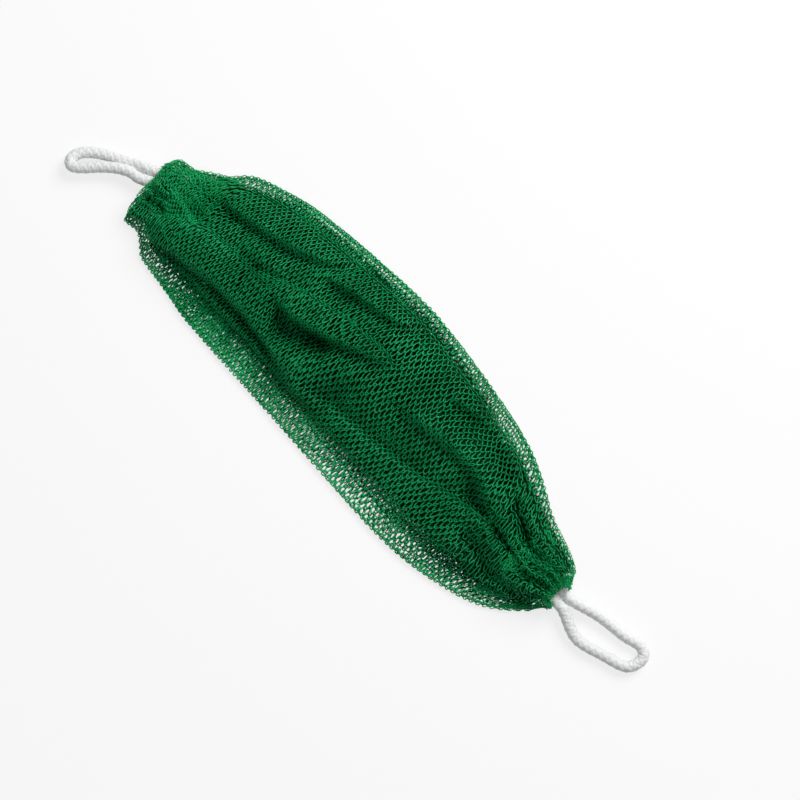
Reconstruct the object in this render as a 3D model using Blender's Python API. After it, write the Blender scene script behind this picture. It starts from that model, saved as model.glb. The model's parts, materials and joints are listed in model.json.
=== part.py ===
"""Net back scrubber: a knitted sleeve over folded net, with a cord hand loop sewn into each end.

Metres, +Z up, lying on the plane z = 0. The sleeve runs along X, its front edge is at -Y, and the
origin is under the middle of the net.
"""

import math
from dataclasses import dataclass

import bmesh
import bpy
import numpy as np
from mathutils import Matrix, Vector

MM = 0.001

# Outer net: its plan, from the middle line to its edges
NET_LENGTH = 353 * MM
FRONT_REACH = 58 * MM
BACK_REACH = 58 * MM
LEFT_END_FRONT = 25 * MM
LEFT_END_BACK = 8 * MM
RIGHT_END_FRONT = 21 * MM
RIGHT_END_BACK = 14 * MM
# How each quarter of the plan draws in towards its end, as two powers
LEFT_FRONT_SHAPE = (4.0, 0.5)
LEFT_BACK_SHAPE = (2.2, 0.8)
RIGHT_FRONT_SHAPE = (4.0, 0.8)
RIGHT_BACK_SHAPE = (2.2, 1.2)

# Outer net: its layer, the flat flanges beside its filled middle, and its heights
NET_LAYER = 1.6 * MM
FLANGE_THICKNESS = 3.6 * MM
FRONT_FLANGE = 19 * MM
BACK_FLANGE = 10 * MM
END_FLANGE = 4 * MM
CROWN_HEIGHT = 25 * MM
NECK_COVER = 5 * MM

# Inner net: one length folded to and fro
INNER_LAYERS = 3
LAYER_SPACE = 0.5 * MM
INNER_SPACE = 5 * MM

# Cord, its sewn-in tails and the thread wound round them
CORD_DIAMETER = 6.6 * MM
LEG_SPACING = 7.2 * MM
TAIL_LENGTH = 22 * MM
MOUTH_LIP = 4 * MM
THREAD_DIAMETER = 0.9 * MM
WHIPPING_TURNS = 5
WHIPPING_PITCH = 1.9 * MM

# Where each hand loop leaves the net: how far past the net's end, its side, and the way it points
LEFT_MOUTH_PAST_END = 3.5 * MM
LEFT_MOUTH_SIDE = -11 * MM
LEFT_MOUTH_TURN = math.radians(209)
RIGHT_MOUTH_PAST_END = -2 * MM
RIGHT_MOUTH_SIDE = -4 * MM
RIGHT_MOUTH_TURN = math.radians(0)

# Clearances
FIT_GAP = 0.3 * MM
TOP_GAP = 0.6 * MM
SWING_GAP = 0.8 * MM

# Facets
NECK_STATIONS = 4
FILLED_STATIONS = 18
FILLED_POINTS = 13
FLANGE_POINTS = 3
UNDER_POINTS = 6
CORD_BEVEL = 3
THREAD_BEVEL = 1
TAIL_SIDES = 12
ARC_STEPS = 6
TURN_POINTS = 16
CORD_STEP = 4 * MM

CORD_RADIUS = CORD_DIAMETER / 2
THREAD_RADIUS = THREAD_DIAMETER / 2
POCKET_RADIUS = CORD_RADIUS + FIT_GAP + THREAD_DIAMETER + FIT_GAP
MOUTH_HEIGHT = NET_LAYER + FIT_GAP + POCKET_RADIUS
NECK_HEIGHT = MOUTH_HEIGHT + POCKET_RADIUS + NECK_COVER
HALF_LENGTH = NET_LENGTH / 2
TAIL_START = CORD_RADIUS + FIT_GAP
TAIL_END = TAIL_START + TAIL_LENGTH
MOUTH_FACE = CORD_RADIUS + SWING_GAP
POCKET_START = MOUTH_FACE + MOUTH_LIP


@dataclass(frozen=True)
class Fold:
    """A fold of the net's upper side: its line in plan, in millimetres, its rise (below 0 is a groove)
    and its half width."""

    line: tuple
    rise: float
    half_width: float


FOLDS = (
    Fold(((-137, 10), (-89, 20), (-56, 41)), -8 * MM, 8 * MM),
    Fold(((-55, 26), (-14, 34), (1, 46)), -7 * MM, 8 * MM),
    Fold(((46, 29), (97, 33)), -6 * MM, 8 * MM),
    Fold(((-59, -14), (-26, -3)), -11 * MM, 8 * MM),
    Fold(((-131, -34), (-98, -32), (-56, -32)), -7 * MM, 8 * MM),
    Fold(((-11, -26), (31, -11), (61, 4), (106, 1)), -9 * MM, 9 * MM),
    Fold(((103, -17), (145, -22)), -5 * MM, 8 * MM),
    Fold(((115, 16), (160, 12)), -4 * MM, 7 * MM),
    Fold(((-113, -9), (-77, -17)), 5 * MM, 11 * MM),
    Fold(((-74, 7), (-26, 13), (-2, 18)), 5 * MM, 10 * MM),
    Fold(((-23, -17), (-11, -4)), 5 * MM, 9 * MM),
    Fold(((82, 22), (106, 14), (133, 0)), 5 * MM, 9 * MM),
)


@dataclass(frozen=True)
class Mouth:
    """The place where a hand loop leaves the net, on the axis that the loop swings about."""

    name: str
    x: float
    y: float
    turn: float
    route: tuple

    @property
    def place(self):
        return Vector((self.x, self.y, MOUTH_HEIGHT))

    @property
    def outward(self):
        return Vector((math.cos(self.turn), math.sin(self.turn), 0))

    @property
    def sideways(self):
        return Vector((-math.sin(self.turn), math.cos(self.turn), 0))

    @property
    def frame(self):
        """Turns the mouth's own axes (outward, sideways, up) into the part's."""
        columns = Matrix((self.outward, self.sideways, Vector((0, 0, 1)))).transposed()
        return Matrix.Translation(self.place) @ columns.to_4x4()


# The loops' routes run from one leg round the tip to the other. Millimetres in plan from the mouth, and up
# from where a cord lies on the table.
LEFT_MOUTH = Mouth(
    "left",
    -HALF_LENGTH - LEFT_MOUTH_PAST_END,
    LEFT_MOUTH_SIDE,
    LEFT_MOUTH_TURN,
    (
        (-13.5, -4, 0.8), (-23, -10, 0), (-32, -16, 0), (-38, -22, 0.4), (-39.6, -27.2, 1.6), (-36.2, -30, 3),
        (-31, -26.5, 3.4), (-24.3, -19.2, 3.6), (-16.5, -12.6, 3.6), (-9, -8.2, 3.6),
    ),
)
RIGHT_MOUTH = Mouth(
    "right",
    HALF_LENGTH + RIGHT_MOUTH_PAST_END,
    RIGHT_MOUTH_SIDE,
    RIGHT_MOUTH_TURN,
    (
        (9, -4.6, 2.6), (25, -9.6, 0.3), (43, -4.6, 0), (56, 0, 0), (60, 6, 0), (59.5, 12.6, 0),
        (53.5, 15.2, 0), (43, 12.4, 0), (25, 9.6, 0.3), (9, 4.6, 2.6),
    ),
)


def make_material(name, color, roughness):
    """A plain material for one kind of piece. The color is linear RGB."""
    material = bpy.data.materials.new(name)
    material.use_nodes = True
    shader = material.node_tree.nodes["Principled BSDF"]
    shader.inputs["Base Color"].default_value = (*color, 1.0)
    shader.inputs["Roughness"].default_value = roughness
    shader.inputs["Metallic"].default_value = 0.0
    return material


def add_piece(name, data, material):
    """Links a new object that wears one material."""
    piece = bpy.data.objects.new(name, data)
    bpy.context.scene.collection.objects.link(piece)
    data.materials.append(material)
    return piece


def cut(piece, name, mesh):
    """Takes a mesh's space out of a piece."""
    cutter = bpy.data.objects.new(name, mesh)
    bpy.context.scene.collection.objects.link(cutter)
    cutter.hide_render = True
    cutter.display_type = "WIRE"
    modifier = piece.modifiers.new(name, "BOOLEAN")
    modifier.operation = "DIFFERENCE"
    modifier.solver = "EXACT"
    modifier.object = cutter


def loft(name, rings):
    """A closed mesh through rings of equally many points, with a flat face on each end.

    Every four-sided face is split from its lower Y on one ring to its higher Y on the next, so that nested
    lofts and the layers of one loft stay parallel.
    """
    shape = bmesh.new()
    rows = [[shape.verts.new(point) for point in ring] for ring in rings]
    for row, following in zip(rows, rows[1:]):
        for index in range(len(row)):
            after = (index + 1) % len(row)
            near, far = (index, after) if row[index].co.y <= row[after].co.y else (after, index)
            shape.faces.new((row[near], row[far], following[far]))
            shape.faces.new((row[near], following[far], following[near]))
    shape.faces.new(rows[0])
    shape.faces.new(rows[-1])
    bmesh.ops.recalc_face_normals(shape, faces=shape.faces[:])
    mesh = bpy.data.meshes.new(name)
    shape.to_mesh(mesh)
    shape.free()
    return mesh


def drawn_in(x, shape):
    """The share of the net's extra width that is left at a station."""
    power, root = shape
    return max(1 - abs(x / HALF_LENGTH) ** power, 0.0) ** root


def front_edge(x):
    """Y of the net's front edge at a station."""
    end, shape = (LEFT_END_FRONT, LEFT_FRONT_SHAPE) if x < 0 else (RIGHT_END_FRONT, RIGHT_FRONT_SHAPE)
    return -end - (FRONT_REACH - end) * drawn_in(x, shape)


def back_edge(x):
    """Y of the net's back edge at a station."""
    end, shape = (LEFT_END_BACK, LEFT_BACK_SHAPE) if x < 0 else (RIGHT_END_BACK, RIGHT_BACK_SHAPE)
    return end + (BACK_REACH - end) * drawn_in(x, shape)


def filled_span(x):
    """Y of the two sides of the filled middle, between the flat flanges."""
    fade = 1 - (x / HALF_LENGTH) ** 4
    front = END_FLANGE + (FRONT_FLANGE - END_FLANGE) * fade
    back = END_FLANGE + (BACK_FLANGE - END_FLANGE) * fade
    return front_edge(x) + front, back_edge(x) - back


def distance_to_line(x, y, line):
    """Distance in plan from a point to a fold's line."""
    point = np.array((x, y))
    corners = np.array(line, float) * MM
    nearest = math.inf
    for start, end in zip(corners, corners[1:]):
        along = end - start
        share = np.clip(np.dot(point - start, along) / np.dot(along, along), 0, 1)
        nearest = min(nearest, float(np.linalg.norm(point - start - share * along)))
    return nearest


def top_height(x, y):
    """Height of the net's upper side: flange, crown and folds."""
    low, high = filled_span(x)
    across = (y - low) / (high - low)
    if not 0 < across < 1:
        return FLANGE_THICKNESS
    swell = math.sin(math.pi * across) ** 0.6
    crown = NECK_HEIGHT + (CROWN_HEIGHT - NECK_HEIGHT) * (1 - abs(x / HALF_LENGTH) ** 3)
    folds = sum(
        fold.rise * math.exp(-((distance_to_line(x, y, fold.line) / fold.half_width) ** 2)) for fold in FOLDS
    )
    return FLANGE_THICKNESS + (crown - FLANGE_THICKNESS + folds) * swell


def spread(count):
    """Shares between 0 and 1 for a row of points that crowd a little towards both ends."""
    steps = (np.arange(count) + 0.5) / count
    return 0.5 * steps + 0.25 * (1 - np.cos(math.pi * steps))


def filled_row(x):
    """Y of the points across the filled middle, which the net and all that lies in it share."""
    low, high = filled_span(x)
    return low + NET_LAYER + (high - low - 2 * NET_LAYER) * spread(FILLED_POINTS)


def net_ring(x):
    """The outer net's section: front edge, underside, back edge, upper side."""
    front, back = front_edge(x), back_edge(x)
    low, high = filled_span(x)
    edge_height = FLANGE_THICKNESS / 2
    under = np.linspace(front + edge_height, back - edge_height, UNDER_POINTS)
    front_flange = np.linspace(front + edge_height, low, FLANGE_POINTS)
    back_flange = np.linspace(high, back - edge_height, FLANGE_POINTS)
    upper = np.concatenate((front_flange, filled_row(x), back_flange))
    ring = [(x, front, edge_height)]
    ring += [(x, y, 0.0) for y in under]
    ring.append((x, back, edge_height))
    ring += [(x, y, top_height(x, y)) for y in upper[::-1]]
    return ring


def cavity_row(x):
    """Points (y, height) along the roof of the space that the inner net lies in."""
    return [(y, top_height(x, y) - NET_LAYER) for y in filled_row(x)]


def cavity_ring(x):
    """The section of the space inside the outer net."""
    row = cavity_row(x)
    floor = [(x, row[0][0], NET_LAYER), (x, row[-1][0], NET_LAYER)]
    return floor + [(x, y, height) for y, height in reversed(row)]


def inner_ring(x):
    """The inner net's section: a strip folded to and fro, drawn once round its outline."""
    row = cavity_row(x)[1:-1]
    floor = NET_LAYER + FIT_GAP

    def face(layer, upper):
        """Points along one face of a layer. A face inside a fold stops one point short of it."""
        inside = (upper and layer < INNER_LAYERS - 1) or (not upper and layer > 0)
        fold = layer if upper else layer - 1
        points = row
        if inside:
            points = row[:-1] if fold % 2 == 0 else row[1:]
        trim = LAYER_SPACE / 2 if inside else 0.0
        found = []
        for y, roof in points:
            rise = (roof - TOP_GAP - floor) / INNER_LAYERS
            found.append((x, y, floor + rise * (layer + 1) - trim if upper else floor + rise * layer + trim))
        return found

    ring = []
    for layer in range(INNER_LAYERS):
        forward = layer % 2 == 0
        ring += face(layer, False) if forward else face(layer, True)[::-1]
    for layer in reversed(range(INNER_LAYERS)):
        forward = layer % 2 == 0
        ring += face(layer, True)[::-1] if forward else face(layer, False)
    return ring


def inner_end(mouth):
    """X of the inner net's end, clear of a loop's tails."""
    corner = abs(mouth.sideways.x) * (LEG_SPACING / 2 + CORD_RADIUS)
    reach = abs(mouth.outward.x) * TAIL_END + corner + INNER_SPACE
    return mouth.x - math.copysign(reach, mouth.outward.x)


def stadium(mouth, outward, radius, steps):
    """Points round both legs of a loop at one distance, in the part's frame."""
    points = []
    for side in (1, -1):
        for step in range(steps + 1):
            angle = math.pi * (step / steps - 0.5)
            reach = side * (LEG_SPACING / 2 + radius * math.cos(angle))
            points.append(mouth.frame @ Vector((outward, reach, side * radius * math.sin(angle))))
    return points


def mouth_cutter(mouth):
    """The opening for a loop's legs and, behind its lip, the pocket for the wound tails."""
    passage = CORD_RADIUS + FIT_GAP
    x_reach = (inner_end(mouth) - mouth.x) / -mouth.outward.x
    stages = (
        (MOUTH_FACE, passage),
        (-POCKET_START, passage),
        (-POCKET_START, POCKET_RADIUS),
        (-x_reach - POCKET_RADIUS, POCKET_RADIUS),
    )
    return loft(
        f"{mouth.name} mouth", [stadium(mouth, outward, radius, ARC_STEPS) for outward, radius in stages]
    )


def notch_cutter(mouth):
    """The room in front of the mouth in which the loop's legs swing up and down."""
    half_width = LEG_SPACING / 2 + CORD_RADIUS + SWING_GAP
    rings = []
    for outward in (-MOUTH_FACE, NET_LENGTH / 8):
        corners = ((-half_width, -1), (half_width, -1), (half_width, 1), (-half_width, 1))
        rings.append(
            [mouth.frame @ Vector((outward, side, up * 2 * CROWN_HEIGHT)) for side, up in corners]
        )
    return loft(f"{mouth.name} notch", rings)


def filled_stations():
    """X of the sections along the inner net, which the outer net shares."""
    return np.linspace(inner_end(LEFT_MOUTH), inner_end(RIGHT_MOUTH), FILLED_STATIONS)


def make_outer_net(material):
    """The knitted sleeve, hollow where the inner net and the tails lie, open at both mouths."""
    filled = filled_stations()
    left_neck = np.linspace(-HALF_LENGTH, filled[0], NECK_STATIONS, endpoint=False)
    right_neck = np.linspace(HALF_LENGTH, filled[-1], NECK_STATIONS, endpoint=False)[::-1]
    stations = np.concatenate((left_neck, filled, right_neck))
    piece = add_piece("outer_net", loft("outer_net", [net_ring(x) for x in stations]), material)
    hollow = (filled[0] - FIT_GAP, *filled[1:-1], filled[-1] + FIT_GAP)
    cut(piece, "net space", loft("net space", [cavity_ring(x) for x in hollow]))
    for mouth in (LEFT_MOUTH, RIGHT_MOUTH):
        cut(piece, f"{mouth.name} mouth", mouth_cutter(mouth))
        cut(piece, f"{mouth.name} notch", notch_cutter(mouth))
    return piece


def make_inner_net(material):
    """The folded length of net that fills the sleeve."""
    return add_piece("inner_net", loft("inner_net", [inner_ring(x) for x in filled_stations()]), material)


def smooth_line(points, step):
    """Points at even steps along a smooth curve through the given points."""
    knots = [np.array(point, float) for point in points]
    knots = [2 * knots[0] - knots[1], *knots, 2 * knots[-1] - knots[-2]]
    fine = []
    for before, start, end, after in zip(knots, knots[1:], knots[2:], knots[3:]):
        for share in np.linspace(0, 1, 24, endpoint=False):
            fine.append(
                0.5
                * (
                    2 * start
                    + (end - before) * share
                    + (2 * before - 5 * start + 4 * end - after) * share**2
                    + (3 * start - before - 3 * end + after) * share**3
                )
            )
    fine.append(knots[-2])
    fine = np.array(fine)
    lengths = np.concatenate(([0], np.cumsum(np.linalg.norm(np.diff(fine, axis=0), axis=1))))
    even = np.linspace(0, lengths[-1], max(round(lengths[-1] / step), 2) + 1)
    return np.column_stack([np.interp(even, lengths, fine[:, axis]) for axis in range(3)])


def make_tube(name, points, thicknesses, radius, bevel, material):
    """A closed tube along points, with a share of its radius at each."""
    curve = bpy.data.curves.new(name, "CURVE")
    curve.dimensions = "3D"
    curve.bevel_depth = radius
    curve.bevel_resolution = bevel
    curve.use_fill_caps = True
    spline = curve.splines.new("POLY")
    spline.points.add(len(points) - 1)
    for knot, point, thickness in zip(spline.points, points, thicknesses):
        knot.co = (*point, 1.0)
        knot.radius = thickness
    return add_piece(name, curve, material)


def rounded_ends(points):
    """Adds a half ball to both ends of a line, as points with shares of the cord's radius."""
    angles = np.radians((15, 40, 65))
    caps = []
    for end, following in ((points[0], points[1]), (points[-1], points[-2])):
        back = (end - following) / np.linalg.norm(end - following)
        caps.append([end + back * CORD_RADIUS * math.cos(angle) for angle in angles])
    shares = [math.sin(angle) for angle in angles]
    line = [*caps[0], *points, *reversed(caps[1])]
    return line, [*shares, *[1.0] * len(points), *reversed(shares)]


def make_loop(mouth, material):
    """The free stretch of a hand loop. Its two round ends sit on the axis that it swings about."""
    first, last = mouth.route[0], mouth.route[-1]
    first_side = 1 if Vector((first[0], first[1], 0)).dot(mouth.sideways) > 0 else -1
    lead = CORD_DIAMETER * 0.8
    drop = CORD_RADIUS - MOUTH_HEIGHT
    legs = []
    for side in (first_side, -first_side):
        start = mouth.sideways * side * LEG_SPACING / 2
        legs.append([start, start + mouth.outward * lead])
    middle = [Vector((x * MM, y * MM, up * MM + drop)) for x, y, up in mouth.route]
    points = smooth_line([*legs[0], *middle, *reversed(legs[1])], CORD_STEP)
    line, thicknesses = rounded_ends(points)
    piece = make_tube(f"{mouth.name}_cord_loop", line, thicknesses, CORD_RADIUS, CORD_BEVEL, material)
    piece.location = mouth.place
    return piece


def make_tail(mouth, side, name, material):
    """One sewn-in end of a cord, behind the mouth, with its cut end melted round."""
    shape = bmesh.new()
    bmesh.ops.create_cone(
        shape,
        cap_ends=True,
        segments=TAIL_SIDES,
        radius1=CORD_RADIUS,
        radius2=CORD_RADIUS,
        depth=TAIL_LENGTH,
        matrix=Matrix.Rotation(math.pi / 2, 4, "Y"),
    )
    inner_rim = [edge for edge in shape.edges if all(vertex.co.x < 0 for vertex in edge.verts)]
    bmesh.ops.bevel(
        shape,
        geom=inner_rim,
        offset=CORD_RADIUS / 4,
        segments=1,
        profile=0.5,
        affect="EDGES",
        material=-1,
    )
    mesh = bpy.data.meshes.new(name)
    shape.to_mesh(mesh)
    shape.free()
    piece = add_piece(name, mesh, material)
    middle = Vector((-(TAIL_START + TAIL_END) / 2, side * LEG_SPACING / 2, 0))
    piece.matrix_world = mouth.frame @ Matrix.Translation(middle)
    return piece


def make_whipping(mouth, material):
    """The thread wound round both tails behind the lip of the net's mouth."""
    around = stadium(mouth, 0.0, CORD_RADIUS + FIT_GAP + THREAD_RADIUS, TURN_POINTS // 2 - 1)
    inward = -mouth.outward
    start = POCKET_START + FIT_GAP + THREAD_RADIUS
    points = []
    for index in range(WHIPPING_TURNS * TURN_POINTS + 1):
        along = start + WHIPPING_PITCH * index / TURN_POINTS
        points.append(np.array(around[index % TURN_POINTS] + inward * along))
    gap = min(
        float(np.linalg.norm(point - other))
        for index, point in enumerate(points)
        for other in points[index + TURN_POINTS // 2 :]
    )
    print(f"{mouth.name} whipping: least gap to itself {(gap - THREAD_DIAMETER) / MM:.2f} mm")
    return make_tube(f"{mouth.name}_whipping", points, [1.0] * len(points), THREAD_RADIUS, THREAD_BEVEL, material)


def main():
    """Clears the scene and builds the scrubber."""
    for old in list(bpy.data.objects):
        bpy.data.objects.remove(old, do_unlink=True)
    net_yarn = make_material("green net yarn", (0.004, 0.15, 0.05), 0.5)
    inner_yarn = make_material("green net yarn inside", (0.003, 0.10, 0.035), 0.55)
    cord_white = make_material("white braided cord", (0.83, 0.84, 0.84), 0.6)
    thread_green = make_material("green sewing thread", (0.004, 0.13, 0.045), 0.5)
    make_outer_net(net_yarn)
    make_inner_net(inner_yarn)
    for mouth in (LEFT_MOUTH, RIGHT_MOUTH):
        make_loop(mouth, cord_white)
        for side in (1, -1):
            where = "back" if mouth.sideways.y * side > 0 else "front"
            make_tail(mouth, side, f"{mouth.name}_{where}_tail", cord_white)
        make_whipping(mouth, thread_green)


main()
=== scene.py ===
"""Dresses the net back scrubber: a knitted sleeve over folded net, with a braided hand loop in each end.

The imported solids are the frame. Every soft solid is replaced by what it is made of: yarn knitted row by
row, braided cord and wound thread. Sizes in the classes are millimetres, and objects are metres.
"""

import json
import logging
import math
from dataclasses import dataclass, field
from enum import Enum
from functools import partial

import bmesh
import bpy
import numpy as np
from bpy.types import Material, Mesh, Node, Object
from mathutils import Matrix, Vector

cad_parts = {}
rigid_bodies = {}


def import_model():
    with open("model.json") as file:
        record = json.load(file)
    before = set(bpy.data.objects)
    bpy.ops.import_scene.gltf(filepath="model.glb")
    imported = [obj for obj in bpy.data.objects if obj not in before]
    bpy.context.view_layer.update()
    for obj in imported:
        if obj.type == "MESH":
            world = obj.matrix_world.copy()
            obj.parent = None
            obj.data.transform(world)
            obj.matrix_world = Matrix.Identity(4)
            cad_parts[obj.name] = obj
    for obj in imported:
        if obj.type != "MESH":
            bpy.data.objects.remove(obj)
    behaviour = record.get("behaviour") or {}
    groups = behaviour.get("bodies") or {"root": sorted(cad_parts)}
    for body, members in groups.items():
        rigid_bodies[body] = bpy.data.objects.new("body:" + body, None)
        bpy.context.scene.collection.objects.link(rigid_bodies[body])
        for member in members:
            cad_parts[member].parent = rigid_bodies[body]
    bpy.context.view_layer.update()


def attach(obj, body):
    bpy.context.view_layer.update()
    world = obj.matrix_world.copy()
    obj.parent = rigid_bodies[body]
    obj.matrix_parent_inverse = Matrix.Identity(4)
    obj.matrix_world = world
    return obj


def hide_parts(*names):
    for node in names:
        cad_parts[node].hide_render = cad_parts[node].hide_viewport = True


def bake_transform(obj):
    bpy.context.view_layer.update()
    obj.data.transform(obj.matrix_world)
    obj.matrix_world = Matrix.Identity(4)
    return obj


Array = np.ndarray
LOG = logging.getLogger("scrubber")
MM = 0.001
FULL_TURN = 2 * math.pi
UP = np.array((0.0, 0.0, 1.0))
SPAN_POINTS = 24


class Side(Enum):
    """The two ends of the scrubber, as the photograph shows them."""

    LEFT = "left"
    RIGHT = "right"


def linear(hex_color: str) -> tuple[float, float, float, float]:
    """Turns an sRGB hex colour into linear RGBA.

    Args:
        hex_color: Six hex digits, such as "1b8a4d".

    Returns:
        Linear red, green, blue and an alpha of 1.
    """
    channels = []
    for start in (0, 2, 4):
        value = int(hex_color[start : start + 2], 16) / 255
        channels.append(value / 12.92 if value <= 0.04045 else ((value + 0.055) / 1.055) ** 2.4)
    return (*channels, 1.0)


def smoothstep(low: float, high: float, value: Array) -> Array:
    """Eases from 0 at low to 1 at high."""
    share = np.clip((np.asarray(value, float) - low) / (high - low), 0, 1)
    return share * share * (3 - 2 * share)


def bell(value: Array, reach: float) -> Array:
    """Falls from 1 at 0 to about a third at the reach."""
    return np.exp(-((value / reach) ** 2))


def add_node(material: Material, kind: str, settings: dict, links: dict) -> Node:
    """Adds a shader node.

    Args:
        material: The material whose tree takes the node.
        kind: The node's type name.
        settings: Properties by name, and socket values by "in:" and the socket's name or number.
        links: Input sockets by name or number, each with the output socket that feeds it.

    Returns:
        The new node.
    """
    tree = material.node_tree
    node = tree.nodes.new(kind)
    for name, value in settings.items():
        if name.startswith("in:"):
            key = name[3:]
            node.inputs[int(key) if key.isdigit() else key].default_value = value
        else:
            setattr(node, name, value)
    for key, output in links.items():
        tree.links.new(output, node.inputs[key])
    return node


@dataclass(frozen=True)
class Finish:
    """What every finish has: a name for the real material, and how a node tree is begun for it."""

    name: str

    def begin(self, constants: dict) -> tuple[Material, Node]:
        """Makes a material.

        Args:
            constants: Values of the Principled shader's sockets, by name.

        Returns:
            The material and its Principled shader.
        """
        material = bpy.data.materials.new(self.name)
        material.use_nodes = True
        shader = material.node_tree.nodes["Principled BSDF"]
        for socket, value in constants.items():
            shader.inputs[socket].default_value = value
        return material, shader

    def coat(self, material: Material, sockets: tuple, tone: float, stops: tuple, relief: tuple) -> None:
        """Colours a thread by its grain, and gives it the grain's relief. The yarn's ply bands and the
        cord's strand heights paint light and shade through this ramp.

        Args:
            material: The thread's material.
            sockets: Outputs with the height of the grain, and with what the grain's tone adds to.
            tone: How much the grain adds.
            stops: Places on the colour ramp with their colours, in order.
            relief: The bump's strength and its depth.
        """
        grain, under = sockets
        links = material.node_tree.links
        inputs = material.node_tree.nodes["Principled BSDF"].inputs
        add = partial(add_node, material)
        mixed = add("ShaderNodeMath", {"operation": "MULTIPLY_ADD", "in:1": tone}, {0: grain, 2: under})
        ramp = add("ShaderNodeValToRGB", {}, {"Fac": mixed.outputs["Value"]})
        elements = ramp.color_ramp.elements
        for element, (place, color) in zip(elements, (stops[0], stops[-1])):
            element.position, element.color = place, linear(color)
        for place, color in stops[1:-1]:
            elements.new(place).color = linear(color)
        links.new(ramp.outputs["Color"], inputs["Base Color"])
        strength, depth = relief
        bump = add("ShaderNodeBump", {"in:Strength": strength, "in:Distance": depth * MM}, {"Height": grain})
        links.new(bump.outputs["Normal"], inputs["Normal"])


@dataclass(frozen=True)
class YarnFinish(Finish):
    """Twisted polyamide yarn, dyed: painted highlight where the filaments catch the light, painted shade
    deep between the plies.
    """

    deep: str
    body: str
    pale: str
    roughness: float
    patch: float = 22.0
    ply_lay: float = 1.25664
    ply_depth: float = 0.16
    ply_painted_light: float = 0.35

    def make(self) -> Material:
        """Builds the yarn's material.

        Returns:
            A material that reads Object coordinates for its dye and the yarn's own UV for its twist.
        """
        material, _ = self.begin({"Roughness": self.roughness, "IOR": 1.53, "Specular IOR Level": 0.1})
        add = partial(add_node, material)
        place = add("ShaderNodeTexCoord", {}, {})
        # Dye takes up a little unevenly, in patches of about a finger's width.
        dye = add(
            "ShaderNodeTexNoise",
            {"in:Scale": 1 / (self.patch * MM), "in:Detail": 3.0, "in:Roughness": 0.55},
            {"Vector": place.outputs["Object"]},
        )
        # Two plies turn round each other. The real lay of about 1 mm is drawn longer so that it shows.
        # The UV is in millimetres, and a diagonal wave of scale 1 has a band every FULL_TURN / 10.
        twist = add("ShaderNodeUVMap", {"uv_map": "yarn"}, {})
        bands = {"bands_direction": "DIAGONAL", "in:Scale": FULL_TURN / 10 / self.ply_lay}
        plies = add(
            "ShaderNodeTexWave",
            {**bands, "in:Distortion": 0.6, "in:Detail": 1.0},
            {"Vector": twist.outputs["UV"]},
        )
        # The ply bands paint the highlight on each ply and the shade between plies; the dye patches are the
        # yarn's own uneven tone.
        stops = ((0.3, self.deep), (0.62, self.body), (0.95, self.pale))
        sockets = (plies.outputs["Fac"], dye.outputs["Fac"])
        self.coat(material, sockets, self.ply_painted_light, stops, (0.6, self.ply_depth))
        return material


@dataclass(frozen=True)
class CordFinish(Finish):
    """Braided polypropylene cord, undyed: white, a little waxy, with fine filaments on every strand and
    painted shade in the hollows between strands.
    """

    body: str
    hollow_shade: str
    filament: float = 0.5
    filament_depth: float = 0.15
    filament_tone: float = 0.22

    def make(self) -> Material:
        """Builds the cord's material.

        Returns:
            A material that reads the braid's own attributes: a strand's height and its filaments' run.
        """
        material, _ = self.begin({"Roughness": 0.55, "IOR": 1.49, "Sheen Weight": 0.15})
        add = partial(add_node, material)
        height = add("ShaderNodeAttribute", {"attribute_name": "strand_height"}, {})
        run = add("ShaderNodeAttribute", {"attribute_name": "filament_run"}, {})
        lines = add(
            "ShaderNodeTexNoise",
            {"noise_dimensions": "2D", "in:Scale": 1 / self.filament, "in:Detail": 2.0},
            {"Vector": run.outputs["Vector"]},
        )
        # Low strand height gives the darker hollow colour: painted shade between the strands.
        stops = ((0.15, self.hollow_shade), (0.7, self.body))
        sockets = (lines.outputs["Fac"], height.outputs["Fac"])
        self.coat(material, sockets, self.filament_tone, stops, (0.35, self.filament_depth))
        return material


@dataclass(frozen=True)
class FloorFinish(Finish):
    """Matt white paper sweep. It is white to the camera and keeps the object's shadow.

    The rim is where, as shares of the covered oval, the paper goes from its own light to plain white.
    """

    paper: str
    glow: float
    covered: tuple = (168.0, 42.0)
    rim: tuple = (0.56, 0.46)

    def make(self) -> Material:
        """Builds the floor's material.

        Returns:
            Matt paper, part of which is plain white to camera, mirror and glass rays.
        """
        material, shader = self.begin({"Base Color": linear(self.paper), "Roughness": 0.9})
        tree = material.node_tree
        add = partial(add_node, material)
        rays = add("ShaderNodeLightPath", {}, {}).outputs
        either = {"operation": "ADD", "use_clamp": True}
        seen = rays["Is Camera Ray"]
        for kind in ("Is Glossy Ray", "Is Transmission Ray"):
            seen = add("ShaderNodeMath", either, {0: seen, 1: rays[kind]}).outputs["Value"]
        # Under the scrubber the paper only has the light that falls on it.
        place = add("ShaderNodeTexCoord", {}, {}).outputs["Object"]
        reach = [1 / (2 * side * MM) for side in self.covered]
        spread = add("ShaderNodeMapping", {"in:Scale": (*reach, 0.0)}, {"Vector": place}).outputs["Vector"]
        near = add("ShaderNodeTexGradient", {"gradient_type": "SPHERICAL"}, {"Vector": spread})
        full, bare = self.rim
        eased = {"interpolation_type": "SMOOTHSTEP", "in:1": full, "in:2": bare, "in:4": self.glow}
        white_share = add("ShaderNodeMapRange", eased, {0: near.outputs["Fac"]}).outputs["Result"]
        share = add("ShaderNodeMath", {"operation": "MULTIPLY"}, {0: seen, 1: white_share})
        white = add("ShaderNodeEmission", {"in:Strength": 1.0}, {})
        mix = add(
            "ShaderNodeMixShader",
            {},
            {0: share.outputs["Value"], 1: shader.outputs["BSDF"], 2: white.outputs["Emission"]},
        )
        tree.links.new(mix.outputs["Shader"], tree.nodes["Material Output"].inputs["Surface"])
        return material


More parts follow.
